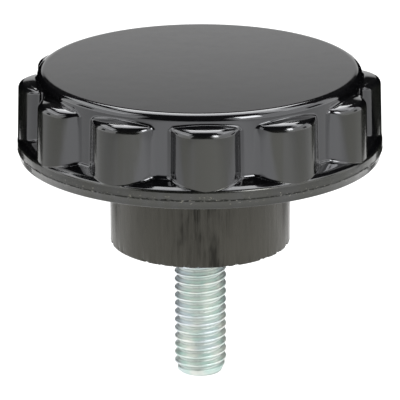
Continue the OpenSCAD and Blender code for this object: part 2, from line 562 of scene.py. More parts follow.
@dataclass
class KnobBody:
    """The moulding: head, grip lobes, flange and boss, in millimetres and degrees."""

    height: float
    flange_r: float
    core_r: float = 29.6
    edge_r: float = 1.2
    draft: float = 1.5
    lobe_count: int = 12
    lobe_r: float = 7.0
    lobe_drop: float = 2.1
    lobe_turn: float = 1.9
    rim_edge_r: float = 0.6
    flange_slope: float = 15.0
    boss_h: float = 16.7
    boss_root_r: float = 1.2
    small_r: float = 0.4
    # These differ a little from the solid's sizes, to bring edges and highlights closer to
    # the photograph.
    top_edge_r: float = 1.3
    lobe_setback: float = 0.015
    parting_h: float = 1.7
    rim_h: float = 1.3
    undercut: float = 0.45
    bevel_w: float = 0.8
    bevel_slope: float = 31.0
    boss_r: float = 16.48
    # The solid has none of these: falling, crowned lobe tops with a tighter edge along the
    # flanks, inner fillets, and a short hole that the stud closes.
    lobe_top_slope: float = 7.0
    lobe_crown: float = 0.02
    flank_edge_r: float = 0.5
    nose_turn: Span = (34.0, 64.0)
    lobe_root_r: float = 0.6
    brow_root_r: float = 0.3
    brow_depths: Span = (1.4, 0.2)
    wall_root_r: float = 0.5
    lobe_foot_r: float = 0.08
    foot_from: float = 1.0
    foot_past: float = 0.4
    stud_hole_r: float = 4.8
    stud_hole_depth: float = 1.6
    # Mould flash: its height, the size of its lumps, and its share at heights from the
    # parting line
    flash_height: float = 0.08
    flash_grain: float = 0.7
    flash_span: Span = (0.35, 0.72)
    flash_ridge: tuple[Span, ...] = (
        (0.6, 0.04), (0.45, 0.06), (0.3, 0.1), (0.18, 0.25), (0.08, 0.6), (0.0, 1.0),
        (-0.1, 0.6), (-0.3, 0.15), (-0.7, 0.05), (-1.0, 0.0))
    # Chips of the seat's edge, which lean inwards and up by this share each
    chip_depth: float = 0.42
    chip_grain: float = 0.9
    chip_span: Span = (0.5, 0.64)
    chip_lean: float = 0.7
    seed: float = 7.0
    # Points settle on the surface in passes, each by a share of the way. The probe is the
    # step that measures the surface's slope, which counts as no flatter than the floor.
    passes: int = 12
    pass_share: float = 0.8
    probe: float = 1e-4
    slope_floor: float = 0.05
    plan: RowPlan = RowPlan()
    wearing: WearPlan = WearPlan()

    @classmethod
    def from_frame(cls) -> "KnobBody":
        """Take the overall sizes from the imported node."""
        _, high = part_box("knob_body")
        return cls(height=high.z / MM, flange_r=high.x / MM)

    def __post_init__(self) -> None:
        """Work out the section's corners from the driving sizes."""
        lean = math.radians(self.draft)
        self.lean = lean
        self.slope = math.radians(self.flange_slope)
        self.parting_z = self.boss_h + self.parting_h
        self.rim_z = self.parting_z + self.rim_h
        self.rim_r = self.flange_r - self.rim_h * math.tan(lean)
        wall = np.array([math.cos(lean), math.sin(lean)])
        self.wall_normal = wall
        self.bevel = math.radians(self.bevel_slope)
        self.rim_round = np.array([self.rim_r, self.rim_z]) - self.rim_edge_r * wall
        self.top_round = np.array([self.core_r - self.top_edge_r * wall[0],
                                   self.height - self.top_edge_r])
        self.wall_top = self.top_round + self.top_edge_r * wall
        self.bevel_foot = self.rim_round + self.rim_edge_r * np.array(
            [math.sin(self.bevel), math.cos(self.bevel)])
        self.bevel_top = self.bevel_foot + self.bevel_w * np.array(
            [-math.cos(self.bevel), math.sin(self.bevel)])
        self.lobe_axis_r = self.rim_r - self.lobe_setback - self.lobe_r
        self.lobe_top_z = self.height - self.lobe_drop
        self.lobe_top_r = self.lobe_r - (self.lobe_top_z - self.rim_z) * math.tan(lean)
        self.lobe_round = np.array([self.lobe_top_r - self.edge_r * wall[0],
                                    self.lobe_top_z - self.edge_r])
        self.half_pitch = math.pi / self.lobe_count
        # The tops of the lobes fall outwards, to the brow where their round edge starts.
        self.brow = self.lobe_axis_r + self.lobe_round[0]
        self.fall = math.tan(math.radians(self.lobe_top_slope))

    def wall_r(self, z: float) -> float:
        """Radius of the core wall at a height."""
        return self.wall_top[0] + (self.wall_top[1] - z) * math.tan(self.lean)

    def lobe_top(self, r: float, turn: float) -> float:
        """Height of a lobe's top at a distance from the axis and an angle from its middle."""
        fallen = (self.brow - r * math.cos(turn)) * self.fall
        return self.lobe_top_z + fallen - self.lobe_crown * (r * math.sin(turn)) ** 2

    def lobe_edge_r(self, along: np.ndarray, aside: np.ndarray) -> np.ndarray:
        """Radius of the lobe's top edge: full at the nose, smaller along the flanks.

        Args:
            along: Distance from the knob's axis towards the lobe's middle.
            aside: Distance sideways from there.

        Returns:
            Radius in millimetres.
        """
        angle = np.degrees(np.arctan2(np.abs(aside), along - self.lobe_axis_r))
        first, last = self.nose_turn
        share = ease((angle - first) / (last - first))
        return self.edge_r + (self.flank_edge_r - self.edge_r) * share

    def corner(self, out: np.ndarray, up: np.ndarray, radius: Union[float, np.ndarray],
               top_tilt: float = 0.0) -> np.ndarray:
        """Distance from a solid whose top and drafted wall meet in a round edge.

        Args:
            out: Distance outwards from the centre of the round.
            up: Height above the centre of the round.
            radius: Radius of the round.
            top_tilt: Slope of the top, in radians.

        Returns:
            Signed distance, negative inside.
        """
        top = out * math.sin(top_tilt) + up * math.cos(top_tilt)
        wall = out * self.wall_normal[0] + up * self.wall_normal[1]
        past_top = out * math.cos(top_tilt) - up * math.sin(top_tilt)
        past_wall = up * self.wall_normal[0] - out * self.wall_normal[1]
        in_round = (past_top > 0) & (past_wall > 0)
        return np.where(in_round, np.hypot(out, up), np.maximum(top, wall)) - radius

    @staticmethod
    def filleted(one: np.ndarray, other: np.ndarray, radius: np.ndarray) -> np.ndarray:
        """Join two distances with a round inner corner."""
        reach = np.hypot(np.maximum(radius - one, 0), np.maximum(radius - other, 0))
        return np.maximum(radius, np.minimum(one, other)) - reach

    def forms(self, r: np.ndarray, z: np.ndarray, turn: np.ndarray) -> dict[str, np.ndarray]:
        """Signed distances from the core, the lobe and the flange, each by itself.

        Args:
            r: Distance from the knob's axis.
            z: Height above the seat.
            turn: Angle from the lobe's middle, in radians.

        Returns:
            Distances in millimetres, negative inside, by the form's name.
        """
        along, aside = r * np.cos(turn), r * np.sin(turn)
        from_lobe = np.hypot(along - self.lobe_axis_r, aside)
        edge_r = self.lobe_edge_r(along, aside)
        above = (z - self.lobe_top_z + edge_r + (along - self.brow) * self.fall
                 + self.lobe_crown * aside ** 2)
        edge = self.corner(r - self.rim_round[0], z - self.rim_round[1], self.rim_edge_r,
                           self.bevel)
        upper = ((r - self.bevel_top[0]) * math.sin(self.slope)
                 + (z - self.bevel_top[1]) * math.cos(self.slope))
        return {
            "core": self.corner(r - self.top_round[0], z - self.top_round[1], self.top_edge_r),
            "lobe": self.corner(from_lobe - self.lobe_top_r + edge_r * self.wall_normal[0], above,
                                edge_r),
            "flange": np.maximum(edge, upper),
        }

    def distance(self, r: np.ndarray, z: np.ndarray, turn: np.ndarray) -> np.ndarray:
        """Signed distance from the head above the rim.

        Args:
            r: Distance from the knob's axis.
            z: Height above the seat.
            turn: Angle from the lobe's middle, in radians.

        Returns:
            Distance in millimetres, negative inside.
        """
        forms = self.forms(r, z, turn)
        root = np.interp(z, [self.lobe_top_z - depth for depth in self.brow_depths],
                         [self.lobe_root_r, self.brow_root_r])
        grip = self.filleted(forms["core"], forms["lobe"], root)
        foot = np.interp(r, [self.core_r + self.foot_from, self.bevel_top[0] + self.foot_past],
                         [self.wall_root_r, self.lobe_foot_r])
        return self.filleted(grip, forms["flange"], foot)

    def settle(self, r: np.ndarray, z: np.ndarray, turn: np.ndarray) -> tuple[
            np.ndarray, np.ndarray]:
        """Move points onto the head's surface, each in its own radial plane.

        Args:
            r: Distance from the knob's axis.
            z: Height above the seat.
            turn: Angle from the lobe's middle, in radians.

        Returns:
            The moved distances and heights.
        """
        step = self.probe
        for _ in range(self.passes):
            here = self.distance(r, z, turn)
            out = (self.distance(r + step, z, turn) - self.distance(r - step, z, turn)) / (2 * step)
            up = (self.distance(r, z + step, turn) - self.distance(r, z - step, turn)) / (2 * step)
            length = np.maximum(out * out + up * up, self.slope_floor)
            r = r - self.pass_share * here * out / length
            z = z - self.pass_share * here * up / length
        return r, z

    def turns(self) -> np.ndarray:
        """Angles of a sector's columns along the lobed outline, closer at the lobe's roots.

        Returns:
            Angles from the lobe's middle, in radians.
        """
        plan = self.plan
        fine = np.linspace(-self.half_pitch, self.half_pitch, plan.outline_samples)
        reach = self.lobe_r ** 2 - (self.lobe_axis_r * np.sin(fine)) ** 2
        lobe = self.lobe_axis_r * np.cos(fine) + np.sqrt(np.maximum(reach, 0))
        outline = np.maximum(np.where(reach > 0, lobe, 0), self.core_r)
        root = abs(fine[np.argmax(outline > self.core_r)])
        steps = np.hypot(np.diff(outline * np.cos(fine)), np.diff(outline * np.sin(fine)))
        away = np.degrees(np.abs(fine[1:] + fine[:-1]) / 2 - root)
        close = np.interp(away, plan.crowd_at, plan.crowd)
        along = np.concatenate([[0], np.cumsum(steps * close)])
        return np.interp(np.linspace(0, along[-1], plan.columns + 1), along, fine)

    def lobe_section(self, turn: float, radius: float) -> float:
        """Where a radial plane leaves a lobe of this radius, as distance from the axis."""
        reach = radius ** 2 - (self.lobe_axis_r * math.sin(turn)) ** 2
        return self.lobe_axis_r * math.cos(turn) + math.sqrt(reach) if reach > 0 else 0.0

    def side_r(self, turn: float, z: float) -> float:
        """Radius of the lobe's side or the core wall, whichever is outside, at a height."""
        lobe = self.lobe_section(turn, self.lobe_r - (z - self.rim_z) * math.tan(self.lean))
        return max(self.wall_r(z), lobe)

    def grip_rows(self, turn: float) -> list[tuple[float, float]]:
        """Rows of one column from the core wall over the lobe, at heights common to all.

        Args:
            turn: Angle of the column from the lobe's middle, in radians.

        Returns:
            Distance from the axis and height of each row.
        """
        plan, inner = self.plan, self.core_r
        wall_foot = self.lobe_top(inner, turn) + plan.wall_clear
        rows = [(self.wall_r(z), z)
                for z in np.linspace(self.wall_top[1], wall_foot, plan.wall)[1:]]
        side = max(self.lobe_section(turn, self.lobe_top_r), inner)
        edge_r = float(self.lobe_edge_r(side * math.cos(turn), side * math.sin(turn)))
        outer = max(self.lobe_section(turn, self.lobe_top_r - edge_r), inner)
        for share in np.linspace(0.0, 1.0, plan.lobe_top) ** plan.lobe_top_crowd:
            r = inner + (outer - inner) * share
            rows.append((r, self.lobe_top(r, turn) + plan.root_lift * (1 - share)))
        for angle in np.radians(np.linspace(plan.lobe_edge_from, 0.0, plan.lobe_edge)):
            z = self.lobe_top_z - edge_r * (1 - math.sin(angle))
            lobe = self.lobe_section(turn, self.lobe_top_r - edge_r * (1 - math.cos(angle)))
            r = max(self.wall_r(z), lobe)
            rows.append((r, z + self.lobe_top(r, turn) - self.lobe_top_z))
        return rows + [(self.side_r(turn, z), z) for z in plan.side_heights]

    def foot_rows(self, turn: float) -> np.ndarray:
        """Rows of one column from the foot of its side, over the flange, to the rim.

        Args:
            turn: Angle of the column from the lobe's middle, in radians.

        Returns:
            Distance from the axis and height of each row.
        """
        plan = self.plan
        heights = np.linspace(plan.side_heights[-1], plan.foot_z, plan.side_samples)
        side = np.array([(self.side_r(turn, z), z) for z in heights])
        radii = np.linspace(self.core_r - plan.slope_inside, self.bevel_top[0], plan.slope_samples)
        slope = [(r, self.bevel_top[1] + (self.bevel_top[0] - r) * math.tan(self.slope))
                 for r in radii]
        bevel = [tuple(self.bevel_top * (1 - t) + self.bevel_foot * t)
                 for t in np.linspace(0.0, 1.0, plan.bevel_samples)]
        edge = self.arc(self.rim_round, self.rim_edge_r, 90.0 - self.bevel_slope, self.draft,
                        plan.rim_samples)
        flange = np.array(slope + bevel + edge)
        kind = np.array([0] * len(slope) + [1] * len(bevel) + [2] * len(edge))
        # The side ends at the flange, and the flange starts outside the lobe and below that.
        side = side[self.forms(side[:, 0], side[:, 1], turn)["flange"] > 0]
        over = self.forms(flange[:, 0], flange[:, 1], turn)
        free = (np.minimum(over["core"], over["lobe"]) > 0) & (flange[:, 1] < side[-1, 1])
        flange, kind = flange[free], kind[free]
        points = np.concatenate([side, flange])
        gaps = np.hypot(np.diff(points[:, 0]), np.diff(points[:, 1]))
        along = np.concatenate([[0], np.cumsum(gaps)])
        joint, end = along[len(side) - 1], along[-1]
        out = along[len(side):]
        after = joint + min(plan.joint_reach, plan.joint_share * (end - joint))
        tops = [out[kind == k][-1] if (kind == k).any() else 0.0 for k in (0, 1)]
        step = plan.least_share * (end - joint)
        crest = max(tops[0], after + step)
        foot = max(tops[1], crest + step)
        marks = (0, joint - plan.joint_reach, after, crest, foot, end)
        stops = np.concatenate([np.linspace(first, last, rows)[1:]
                                for first, last, rows in zip(marks, marks[1:], plan.foot)])
        return np.stack([np.interp(stops, along, points[:, k]) for k in (0, 1)], axis=1)

    @staticmethod
    def arc(centre: Sequence[float], radius: float, start: float, end: float,
            rows: int) -> list[tuple[float, float]]:
        """Rows along an arc of the section.

        Args:
            centre: Distance from the axis and height of its centre.
            radius: Its radius.
            start: First angle from the outward direction, in degrees.
            end: Last angle.
            rows: Number of rows.

        Returns:
            Distance from the axis and height of each row.
        """
        return [(centre[0] + radius * math.cos(a), centre[1] + radius * math.sin(a))
                for a in np.radians(np.linspace(start, end, rows))]

    def upper_rows(self) -> list[tuple[float, float]]:
        """Rows of the flat top and its round edge.

        Returns:
            Distance from the axis and height of each row.
        """
        plan, edge = self.plan, self.top_round[0]
        radii = (*plan.top_radii, *(edge - inset for inset in plan.top_insets))
        rows = [(r, self.height) for r in radii]
        return rows + self.arc(self.top_round, self.top_edge_r, 90.0, self.draft, plan.top_edge)

    def lower_rows(self) -> tuple[list[tuple[float, float]], list[float]]:
        """Rows from the rim down to the seat and into the stud's hole.

        Returns:
            Distance from the axis and height of each row, and how far the moulding flash
            stands out there, from 0 to 1.
        """
        plan = self.plan
        lean = math.atan(self.undercut / self.parting_h)
        lower = (self.flange_r - self.undercut
                 - self.small_r * math.tan(math.pi / 4 - lean / 2), self.boss_h + self.small_r)
        root = (self.boss_r + self.boss_root_r, self.boss_h - self.boss_root_r)
        seat = (self.boss_r - self.small_r, self.small_r)
        rows, flash = [], []
        for up, share in self.flash_ridge:
            inwards = up * math.tan(self.lean) if up > 0 else -up * math.tan(lean)
            rows.append((self.flange_r - inwards, self.parting_z + up))
            flash.append(share)
        plain = self.arc(lower, self.small_r, -math.degrees(lean), -90.0, plan.lower_edge)
        plain += [(r, self.boss_h)
                  for r in np.linspace(lower[0] - plan.inset, root[0] + plan.inset, plan.underside)]
        plain += self.arc(root, self.boss_root_r, 90.0, 180.0, plan.boss_root)
        plain += [(self.boss_r, z)
                  for z in np.linspace(root[1] - plan.boss_inset, seat[1] + plan.inset, plan.boss)]
        plain += self.arc(seat, self.small_r, 0.0, -90.0, plan.seat_edge)
        plain += [(r, 0.0)
                  for r in np.linspace(seat[0] - plan.inset, self.stud_hole_r, plan.seat)]
        plain += [(self.stud_hole_r, self.stud_hole_depth), (0.0, self.stud_hole_depth)]
        return rows + plain, flash + [0.0] * len(plain)

    def wear(self, r: np.ndarray, z: np.ndarray, turn: np.ndarray) -> np.ndarray:
        """How much the skin is worn: on the backs of the lobes and on the rim.

        Args:
            r: Distance from the knob's axis.
            z: Height above the seat.
            turn: Angle from the lobe's middle, in radians.

        Returns:
            Wear from 0 to 1.
        """
        plan = self.wearing
        out = r - np.interp(z, [self.rim_z + plan.above_rim, self.lobe_round[1]], plan.lobe_r)
        lobe = ease(out / plan.lobe_fade + 0.5)
        lobe = lobe * ease((self.lobe_top_z - plan.below_top - z) / plan.top_fade)
        lobe *= ease(1 - self.forms(r, z, turn)["lobe"] / plan.lobe_depth)
        rim = ease((self.bevel_foot[1] - z) / plan.rim_fade)
        fade = plan.underside_fade
        return np.maximum(lobe, rim * ease((r - self.boss_r - fade) / fade))

    def sector(self) -> bpy.types.Mesh:
        """Build one lobe's sector of the moulding.

        Returns:
            A mesh in metres with its middle on +X, and its marks as attributes.
        """
        wearing = self.wearing
        upper = self.upper_rows()
        lower, flash = self.lower_rows()
        turns = self.turns()
        grid = np.stack([np.concatenate([upper, self.grip_rows(t), self.foot_rows(t), lower])
                         for t in turns], axis=1)
        # Only the rows from the top edge down to the rim are settled onto the surface.
        first, last = len(upper) - self.plan.top_edge, len(grid) - len(lower)
        turn = np.broadcast_to(turns, grid.shape[:2])
        r, z = self.settle(grid[first:last, :, 0], grid[first:last, :, 1], turn[first:last])
        grid[first:last, :, 0], grid[first:last, :, 1] = r, z
        r, z = grid[:, :, 0], grid[:, :, 1]
        points = np.stack([r * np.cos(turn), r * np.sin(turn), z], axis=2) * MM
        rows, wide = r.shape
        index = np.arange(rows * wide).reshape(rows, wide)
        faces = np.stack([index[:-1, :-1], index[1:, :-1], index[1:, 1:], index[:-1, 1:]], axis=2)
        mesh = bpy.data.meshes.new("knob_sector")
        mesh.from_pydata(points.reshape(-1, 3).tolist(), [], faces.reshape(-1, 4).tolist())
        shares = np.concatenate([np.zeros(rows - len(flash)), flash])
        # Filed share under the flange: matt, and dulled as painted shade
        filed_and_shaded = np.interp(z, [self.boss_h + wearing.filed_and_shaded_ends[0],
                              self.parting_z - wearing.filed_and_shaded_ends[1]], [wearing.filed_and_shaded, 0.0])
        chip = np.interp(np.hypot(r - self.boss_r, z), wearing.chip_at, wearing.chip)
        for kind, values in ((Mark.FLASH, np.repeat(shares, wide)), (Mark.CHIP, chip),
                             (Mark.WORN, self.wear(r, z, turn)), (Mark.FILED_AND_SHADED, filed_and_shaded)):
            layer = mesh.attributes.new(kind.value, "FLOAT", "POINT")
            layer.data.foreach_set("value", values.astype(np.float32).ravel())
        drawn = mesh.attributes.new(Mark.DRAWN.value, "BOOLEAN", "FACE")
        middle = z[:-1, :-1] / 2 + z[1:, 1:] / 2
        low = middle < self.boss_h - wearing.drawn_below
        satin = low & (np.arange(rows - 1) > last)[:, None]
        drawn.data.foreach_set("value", satin.ravel())
        return mesh

    def ring_tree(self) -> bpy.types.NodeTree:
        """Make the tree that sets the sectors round the axis, with mould flash and chips.

        Returns:
            The geometry tree.
        """
        tree, given, output = new_tree("knob_ring", [
            ("Sector", "Geometry"), ("Lobe Count", "Int"), ("First Angle", "Float"),
            ("Weld", "Float"), ("Flash Height", "Float"), ("Flash Scale", "Float"),
            ("Chip Depth", "Float"), ("Chip Scale", "Float"), ("Seed", "Float"),
            ("Gloss", "Material"), ("Satin", "Material")])
        size = given.outputs
        spots = add_node(tree, "GeometryNodePoints", {"Count": size["Lobe Count"]})
        number = add_node(tree, "GeometryNodeInputIndex")
        pitch = add_node(tree, "ShaderNodeMath", (2 * math.pi, size["Lobe Count"]),
                         operation="DIVIDE")
        angle = add_node(tree, "ShaderNodeMath", (number, pitch, size["First Angle"]),
                         operation="MULTIPLY_ADD")
        turn = add_node(tree, "ShaderNodeCombineXYZ", {"Z": angle})
        ring = add_node(tree, "GeometryNodeInstanceOnPoints", {
            "Points": spots, "Instance": size["Sector"], "Rotation": turn})
        real = add_node(tree, "GeometryNodeRealizeInstances", {"Geometry": ring})
        closed = add_node(tree, "GeometryNodeMergeByDistance", {
            "Geometry": real, "Distance": size["Weld"]})
        place = add_node(tree, "GeometryNodeInputPosition")
        level = add_node(tree, "ShaderNodeVectorMath", (place, (1.0, 1.0, 0.0)), **TIMES)
        away = add_node(tree, "ShaderNodeVectorMath", (level,), operation="NORMALIZE")
        lean = self.chip_lean
        inwards = add_node(tree, "ShaderNodeVectorMath", (
            away, (-lean, -lean, 0.0), (0.0, 0.0, lean)), operation="MULTIPLY_ADD")

        def lumps(kind: Mark, scale: str, height: str, span: Span,
                  way: bpy.types.Node) -> bpy.types.Node:
            """Move the points where a mark is, by noise.

            Args:
                kind: The mark.
                scale: Name of the input with the noise's scale.
                height: Name of the input with the longest move.
                span: Values of the noise at which the move starts and is full.
                way: Direction of the move.

            Returns:
                The node that gives the move.
            """
            rough = add_node(tree, "ShaderNodeTexNoise", {
                "Vector": place, "W": size["Seed"], "Scale": size[scale], "Detail": 3.0},
                noise_dimensions="4D")
            share = add_node(tree, "GeometryNodeInputNamedAttribute", {"Name": kind.value},
                             data_type="FLOAT")
            lump = add_node(tree, "ShaderNodeMapRange", (rough, *span), **SMOOTH)
            marked = add_node(tree, "ShaderNodeMath", (lump, share), **TIMES)
            length = add_node(tree, "ShaderNodeMath", (marked, size[height]), **TIMES)
            return add_node(tree, "ShaderNodeVectorMath", {0: way, "Scale": length},
                            operation="SCALE")

        move = add_node(tree, "ShaderNodeVectorMath", (
            lumps(Mark.FLASH, "Flash Scale", "Flash Height", self.flash_span, away),
            lumps(Mark.CHIP, "Chip Scale", "Chip Depth", self.chip_span, inwards)))
        flashed = add_node(tree, "GeometryNodeSetPosition", {"Geometry": closed, "Offset": move})
        smooth = add_node(tree, "GeometryNodeSetShadeSmooth", {"Geometry": flashed})
        glossy = add_node(tree, "GeometryNodeSetMaterial", {
            "Geometry": smooth, "Material": size["Gloss"]})
        drawn = add_node(tree, "GeometryNodeInputNamedAttribute", {"Name": Mark.DRAWN.value},
                         data_type="BOOLEAN")
        satin = add_node(tree, "GeometryNodeSetMaterial", {
            "Geometry": glossy, "Selection": drawn, "Material": size["Satin"]})
        tree.links.new(satin.outputs[0], output.inputs[0])
        return tree

    def build(self, gloss: GlossPhenolic, satin: SatinPhenolic) -> bpy.types.Object:
        """Make the moulding and let it stand for its CAD node.

        Args:
            gloss: Finish of the head and the flange.
            satin: Finish of the boss.

        Returns:
            The finished piece.
        """
        piece = new_piece("moulded_knob", self.sector())
        settle_tree(piece, self.ring_tree(), {
            "Lobe Count": self.lobe_count,
            "First Angle": math.radians(self.lobe_turn - 90.0),
            "Weld": WELD,
            "Flash Height": self.flash_height * MM,
            "Flash Scale": per_metre(self.flash_grain),
            "Chip Depth": self.chip_depth * MM,
            "Chip Scale": per_metre(self.chip_grain),
            "Seed": self.seed,
            "Gloss": gloss.material(),
            "Satin": satin.material(),
        })
        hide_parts("knob_body")
        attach(piece, BODY)
        return piece


@dataclass
class ThreadedStud:
    """The zinc-plated stud with its rolled coarse thread, in millimetres."""

    radius: float
    length: float
    pitch: float = 25.4 / 16
    depth: float = 0.86
    chamfer: float = 0.9
    pilot_depth: float = 0.55
    pilot_length: float = 1.0
    entry: float = 1.2
    start: float = 0.82
    # Where a groove starts beside the crest and reaches its root, in half pitches
    groove_span: Span = (0.08, 0.86)
    segments: int = 96
    rows_per_turn: int = 16
    # Turns of the rolled grid past the two ends, which become the flat ends
    spare_below: int = 2
    spare_above: int = 1
    # Rows of the grid farther from its middle than this become the poles of the flat ends.
    pole_at: float = 0.49999

    @classmethod
    def from_frame(cls) -> "ThreadedStud":
        """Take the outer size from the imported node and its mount.

        Returns:
            The stud, with its other sizes as above.
        """
        low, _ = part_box("threaded_stud")
        mount = next(m for m in frame["record"]["mounts"] if m["name"] == "stud")
        return cls(radius=mount["dims"]["r_mm"], length=-low.z / MM)

    def thread_tree(self) -> bpy.types.NodeTree:
        """Make the tree that rolls a grid into a right-hand thread with closed ends.

        Returns:
            The geometry tree.
        """
        tree, given, output = new_tree("rolled_thread", [
            ("Geometry", "Geometry"), ("Radius", "Float"), ("Length", "Float"),
            ("Pitch", "Float"), ("Depth", "Float"), ("Chamfer", "Float"),
            ("Pilot Depth", "Float"), ("Pilot Length", "Float"), ("Entry", "Float"),
            ("Start", "Float"), ("Turns", "Float"), ("Segments", "Int"), ("Rows", "Int"),
            ("Weld", "Float"), ("Plate", "Material")])
        size, maths = given.outputs, "ShaderNodeMath"
        sheet = add_node(tree, "GeometryNodeMeshGrid", {
            "Size X": 1.0, "Size Y": 1.0, "Vertices X": size["Segments"],
            "Vertices Y": size["Rows"]})
        flat = add_node(tree, "ShaderNodeSeparateXYZ", (
            add_node(tree, "GeometryNodeInputPosition"),))
        around = add_node(tree, maths, (flat.outputs["X"], 0.5), operation="ADD")
        along = add_node(tree, maths, (flat.outputs["Y"], 0.5), operation="ADD")
        # Height of each point: a turn rises by one pitch, and the ends are cut off flat.
        advance = add_node(tree, maths, (along, size["Turns"]), **TIMES)
        turned = add_node(tree, maths, (advance, float(self.spare_below)), operation="SUBTRACT")
        wound = add_node(tree, maths, (turned, around), operation="ADD")
        climb = add_node(tree, maths, (wound, size["Pitch"]), **TIMES)
        raw = add_node(tree, maths, (climb, size["Length"]), operation="SUBTRACT")
        tip = add_node(tree, maths, (size["Length"], -1.0), **TIMES)
        lifted = add_node(tree, maths, (raw, tip), operation="MAXIMUM")
        height = add_node(tree, maths, (lifted, size["Entry"]), operation="MINIMUM")
        # Radius of the thread, from the place between crest and root
        offset = add_node(tree, maths, (turned, size["Start"]), operation="ADD")
        phase = add_node(tree, maths, (offset,), operation="FRACT")
        swing = add_node(tree, maths, (phase, 2.0, -1.0), operation="MULTIPLY_ADD")
        ridge = add_node(tree, maths, (swing,), operation="ABSOLUTE")
        groove = add_node(tree, "ShaderNodeMapRange", (ridge, *self.groove_span), **SMOOTH)
        sunk = add_node(tree, maths, (groove, size["Depth"]), **TIMES)
        thread = add_node(tree, maths, (size["Radius"], sunk), operation="SUBTRACT")
        # Radius of the chamfer, the pilot and the cone where the thread runs out
        end_r = add_node(tree, maths, (size["Radius"], size["Chamfer"]), operation="SUBTRACT")
        rise = add_node(tree, maths, (height, tip), operation="SUBTRACT")
        bevel = add_node(tree, maths, (end_r, rise), operation="ADD")
        pilot = add_node(tree, maths, (size["Radius"], size["Pilot Depth"]), operation="SUBTRACT")
        past = add_node(tree, maths, (rise, size["Pilot Length"]), operation="SUBTRACT")
        cone = add_node(tree, maths, (pilot, past), operation="ADD")
        run_out = add_node(tree, maths, (pilot, cone), operation="MAXIMUM")
        plain = add_node(tree, maths, (bevel, run_out), operation="MINIMUM")
        cut = add_node(tree, maths, (thread, plain), operation="MINIMUM")
        # Flat ends: past them the radius is the end's own, and the last rows are poles.
        below = add_node(tree, maths, (raw, tip), operation="LESS_THAN")
        above = add_node(tree, maths, (raw, size["Entry"]), operation="GREATER_THAN")
        core = add_node(tree, maths, (size["Radius"], size["Depth"]), operation="SUBTRACT")
        ended = add_node(tree, "ShaderNodeMix", {0: below, FIRST_VALUE: cut, SECOND_VALUE: end_r})
        seated = add_node(tree, "ShaderNodeMix", {0: above, FIRST_VALUE: ended, SECOND_VALUE: core})
        off_middle = add_node(tree, maths, (flat.outputs["Y"],), operation="ABSOLUTE")
        open_row = add_node(tree, maths, (off_middle, self.pole_at), operation="LESS_THAN")
        radius = add_node(tree, maths, (seated, open_row), **TIMES)
        angle = add_node(tree, maths, (around, 2 * math.pi), **TIMES)
        cosine = add_node(tree, maths, (angle,), operation="COSINE")
        sine = add_node(tree, maths, (angle,), operation="SINE")
        rolled = add_node(tree, "ShaderNodeCombineXYZ", (
            add_node(tree, maths, (radius, cosine), **TIMES),
            add_node(tree, maths, (radius, sine), **TIMES), height))
        marked = add_node(tree, "GeometryNodeStoreNamedAttribute", {
            "Geometry": sheet, "Name": Mark.GROOVE.value, "Value": groove},
            data_type="FLOAT", domain="POINT")
        shaped = add_node(tree, "GeometryNodeSetPosition", {
            "Geometry": marked, "Position": rolled})
        real = add_node(tree, "GeometryNodeRealizeInstances", {"Geometry": shaped})
        closed = add_node(tree, "GeometryNodeMergeByDistance", {
            "Geometry": real, "Distance": size["Weld"]})
        smooth = add_node(tree, "GeometryNodeSetShadeSmooth", {"Geometry": closed})
        plated = add_node(tree, "GeometryNodeSetMaterial", {
            "Geometry": smooth, "Material": size["Plate"]})
        tree.links.new(plated.outputs[0], output.inputs[0])
        return tree

    def build(self, plate: ZincPlate) -> bpy.types.Object:
        """Make the stud and let it stand for its CAD node.

        Args:
            plate: Finish of the stud.

        Returns:
            The finished piece.
        """
        piece = new_piece("threaded_stud_plated", bpy.data.meshes.new("stud_blank"))
        threaded = math.ceil((self.length + self.entry) / self.pitch)
        turns = self.spare_below + threaded + self.spare_above
        settle_tree(piece, self.thread_tree(), {
            "Radius": self.radius * MM,
            "Length": self.length * MM,
            "Pitch": self.pitch * MM,
            "Depth": self.depth * MM,
            "Chamfer": self.chamfer * MM,
            "Pilot Depth": self.pilot_depth * MM,
            "Pilot Length": self.pilot_length * MM,
            "Entry": self.entry * MM,
            "Start": self.start,
            "Turns": float(turns),
            "Segments": self.segments + 1,
            "Rows": turns * self.rows_per_turn + 1,
            "Weld": WELD,
            "Plate": plate.material(),
        })
        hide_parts("threaded_stud")
        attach(piece, BODY)
        return piece


@dataclass(frozen=True)
class SoftBox:
    """A flat white lamp of the studio, in millimetres, that faces a point."""

    name: str
    place: Place
    wide: float
    tall: float
    brightness: float
    aim: Place = (0.0, 0.0, 20.0)

    def build(self) -> bpy.types.Object:
        """Make the lamp; its brightness is what a mirror would show, where 1 is white.

        Returns:
            The lamp's object.
        """
        light = bpy.data.lights.new(self.name, "AREA")
        light.shape = "RECTANGLE"
        light.size, light.size_y = self.wide * MM, self.tall * MM
        light.energy = self.brightness * math.pi * light.size * light.size_y
        lamp = bpy.data.objects.new(self.name, light)
        bpy.context.scene.collection.objects.link(lamp)
        lamp.location = Vector(self.place) * MM
        lamp.rotation_euler = (Vector(self.aim) - Vector(self.place)).to_track_quat(
            "-Z", "Y").to_euler()
        lamp.visible_camera = False
        return lamp


